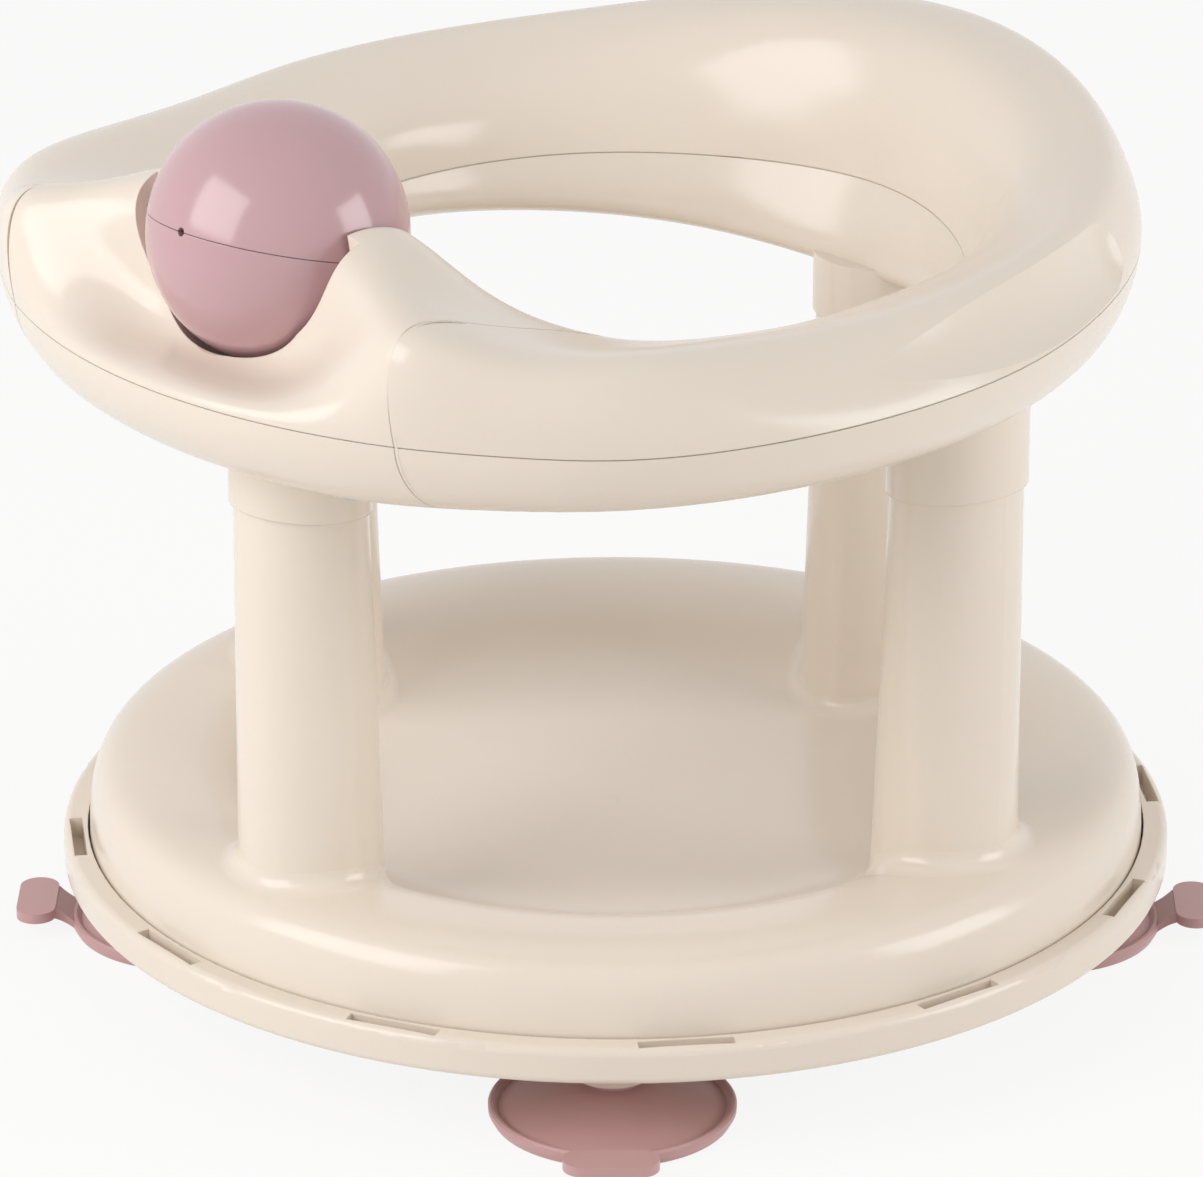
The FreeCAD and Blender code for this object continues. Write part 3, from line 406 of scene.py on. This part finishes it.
class BATHSEAT_OT_ball(SeatPiece, bpy.types.Operator):
    """Finish both halves of the rolling ball in dusty pink plastic"""

    bl_idname = "bathseat.ball"
    bl_label = "Rolling ball"

    def execute(self, context):
        settings = context.scene.bath_seat_finish
        pink = moulded_gloss("abs_moulded_dusty_pink", settings.ball_colour,
                             settings.ball_roughness, BALL_IOR)
        for node in ("ball_upper_half", "ball_lower_half"):
            finish(node, pink)
        return {"FINISHED"}


class BATHSEAT_OT_cups(SeatPiece, bpy.types.Operator):
    """Finish the suction cups in soft pink PVC"""

    bl_idname = "bathseat.cups"
    bl_label = "Suction cups"

    def execute(self, context):
        soft = moulded_rubber("soft_pvc_moulded_pink",
                              context.scene.bath_seat_finish.cup_colour)
        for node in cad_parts:
            if node.startswith("suction_cup"):
                finish(node, soft)
        return {"FINISHED"}


class BATHSEAT_OT_running_parts(SeatPiece, bpy.types.Operator):
    """Finish the glide ring, the bush, the axle, the washer and the screws"""

    bl_idname = "bathseat.running_parts"
    bl_label = "Running parts and screws"

    def execute(self, context):
        acetal = machined_acetal("acetal_turned_white")
        steel = turned_stainless("stainless_steel_turned")
        for node in ("glide_ring", "pivot_bush"):
            finish(node, acetal)
        for node in ("pivot_washer", "pivot_screw", "ball_axle", "pillar_screws",
                     "ring_screws", "cover_screws"):
            finish(node, steel)
        return {"FINISHED"}


def seen_ray(tree):
    """1 for rays that show a surface: from the camera, off gloss or through something clear."""
    ray = add_node(tree, "ShaderNodeLightPath")
    gloss = add_node(tree, "ShaderNodeMath", {"operation": "MAXIMUM"},
                     {0: (ray, "Is Camera Ray"), 1: (ray, "Is Glossy Ray")})
    return add_node(tree, "ShaderNodeMath", {"operation": "MAXIMUM"},
                    {0: (gloss, 0), 1: (ray, "Is Transmission Ray")})


def floor_material():
    """Matt white paper sweep that shows near white to the camera and keeps the soft shadow."""
    material, tree = start_material("paper_sweep_white")
    matt = add_node(tree, "ShaderNodeBsdfDiffuse", {"Color": shaded(from_hex("F4F3F1"))})
    glow = add_node(tree, "ShaderNodeEmission",
                    {"Color": (1, 1, 1, 1), "Strength": SHOWN_WHITE})
    share = add_node(tree, "ShaderNodeMath", {"operation": "MULTIPLY", 1: UNSHADED_SHARE},
                     {0: (seen_ray(tree), 0)})
    mix = add_node(tree, "ShaderNodeMixShader", None,
                   {0: (share, 0), 1: (matt, "BSDF"), 2: (glow, "Emission")})
    add_node(tree, "ShaderNodeOutputMaterial", None, {"Surface": (mix, "Shader")})
    return material


def softbox(name, heading, setting, power):
    """A softbox that looks at the seat, set as LEFT_SOFTBOX and RIGHT_SOFTBOX say."""
    turn, height, wide, tall = setting
    lamp = bpy.data.lights.new(name, "AREA")
    lamp.shape = "RECTANGLE"
    lamp.size = wide
    lamp.size_y = tall
    lamp.energy = power
    item = bpy.data.objects.new(name, lamp)
    around = heading + math.radians(turn)
    above = math.radians(height)
    way = Vector((math.sin(around) * math.cos(above), -math.cos(around) * math.cos(above),
                  math.sin(above)))
    item.location = Vector((0, 0, LAMP_AIM)) + way * LAMP_DISTANCE
    item.rotation_mode = "QUATERNION"
    item.rotation_quaternion = (-way).to_track_quat("-Z", "Y")
    bpy.context.scene.collection.objects.link(item)


def room(strength):
    """Even white light from the room, plain white where the camera or a reflection sees it."""
    world = bpy.data.worlds.new("studio_room")
    world.use_nodes = True
    tree = world.node_tree
    tree.nodes.clear()
    lit = add_node(tree, "ShaderNodeBackground",
                   {"Color": (1.0, 0.995, 0.985, 1.0), "Strength": strength})
    seen = add_node(tree, "ShaderNodeBackground",
                    {"Color": (1, 1, 1, 1), "Strength": SHOWN_WHITE})
    mix = add_node(tree, "ShaderNodeMixShader", None,
                   {0: (seen_ray(tree), 0), 1: (lit, "Background"), 2: (seen, "Background")})
    add_node(tree, "ShaderNodeOutputWorld", None, {"Surface": (mix, "Shader")})
    bpy.context.scene.world = world


def lay_floor():
    """Lay the paper sweep just below the suction cups."""
    half = FLOOR_HALF_WIDTH
    mesh = bpy.data.meshes.new("paper_sweep")
    mesh.from_pydata([(-half, -half, 0), (half, -half, 0), (half, half, 0), (-half, half, 0)],
                     [], [(0, 1, 2, 3)])
    mesh.materials.append(floor_material())
    floor = bpy.data.objects.new("paper_sweep", mesh)
    floor.location.z = -FLOOR_DROP * MM
    bpy.context.scene.collection.objects.link(floor)


def set_camera(settings):
    """Stand the camera where the photograph was taken from."""
    pitch = settings.pitch
    right = Vector((1, 0, 0))
    up = Vector((0, math.sin(pitch), math.cos(pitch)))
    forward = Vector((0, math.cos(pitch), -math.sin(pitch)))
    turn = Matrix.Rotation(settings.heading, 4, "Z")
    spot = turn @ (right * CAMERA_ACROSS * MM + up * CAMERA_ABOVE * MM
                   - forward * settings.distance)
    spot.z += FLANGE_LIFT * MM
    axes = [turn @ right, turn @ up, turn @ -forward]
    camera = bpy.data.cameras.new("photo_camera")
    camera.lens = settings.lens
    camera.sensor_width = SENSOR_WIDTH
    camera.clip_start = 0.1
    camera.clip_end = 50
    viewer = bpy.data.objects.new("photo_camera", camera)
    viewer.matrix_world = Matrix([[axis[row] for axis in axes] + [spot[row]] for row in range(3)]
                                 + [[0, 0, 0, 1]])
    bpy.context.scene.collection.objects.link(viewer)
    bpy.context.scene.camera = viewer


class BATHSEAT_OT_stage(SeatPiece, bpy.types.Operator):
    """Set the floor, the softboxes, the room light and the camera"""

    bl_idname = "bathseat.stage"
    bl_label = "Stage"

    def execute(self, context):
        settings = context.scene.bath_seat_stage
        context.scene.view_settings.view_transform = "Standard"
        lay_floor()
        room(settings.sky_strength)
        softbox("softbox_left", settings.heading, LEFT_SOFTBOX, settings.left_power)
        softbox("softbox_right", settings.heading, RIGHT_SOFTBOX, settings.right_power)
        set_camera(settings)
        return {"FINISHED"}


class BATHSEAT_PT_pieces(bpy.types.Panel):
    """Lists the seat's pieces and its stage"""

    bl_label = "Bath seat"
    bl_idname = "BATHSEAT_PT_pieces"
    bl_space_type = "VIEW_3D"
    bl_region_type = "UI"
    bl_category = "Bath seat"

    def draw(self, context):
        for settings in (context.scene.bath_seat_finish, context.scene.bath_seat_stage):
            for name in settings.bl_rna.properties.keys():
                if name not in ("rna_type", "name"):
                    self.layout.prop(settings, name)
        for operator in OPERATORS:
            self.layout.operator(operator.bl_idname)


GROUPS = (BathSeatFinish, BathSeatStage)
OPERATORS = (BATHSEAT_OT_shells, BATHSEAT_OT_joint_tongues, BATHSEAT_OT_ball, BATHSEAT_OT_cups,
             BATHSEAT_OT_running_parts, BATHSEAT_OT_stage)
CLASSES = GROUPS + OPERATORS + (BATHSEAT_PT_pieces,)


def register():
    for item in CLASSES:
        bpy.utils.register_class(item)
    bpy.types.Scene.bath_seat_finish = PointerProperty(type=BathSeatFinish)
    bpy.types.Scene.bath_seat_stage = PointerProperty(type=BathSeatStage)


def unregister():
    del bpy.types.Scene.bath_seat_stage
    del bpy.types.Scene.bath_seat_finish
    for item in reversed(CLASSES):
        bpy.utils.unregister_class(item)


def main():
    register()
    for operator in OPERATORS:
        group, name = operator.bl_idname.split(".")
        getattr(getattr(bpy.ops, group), name)()


if __name__ == "__main__":
    main()
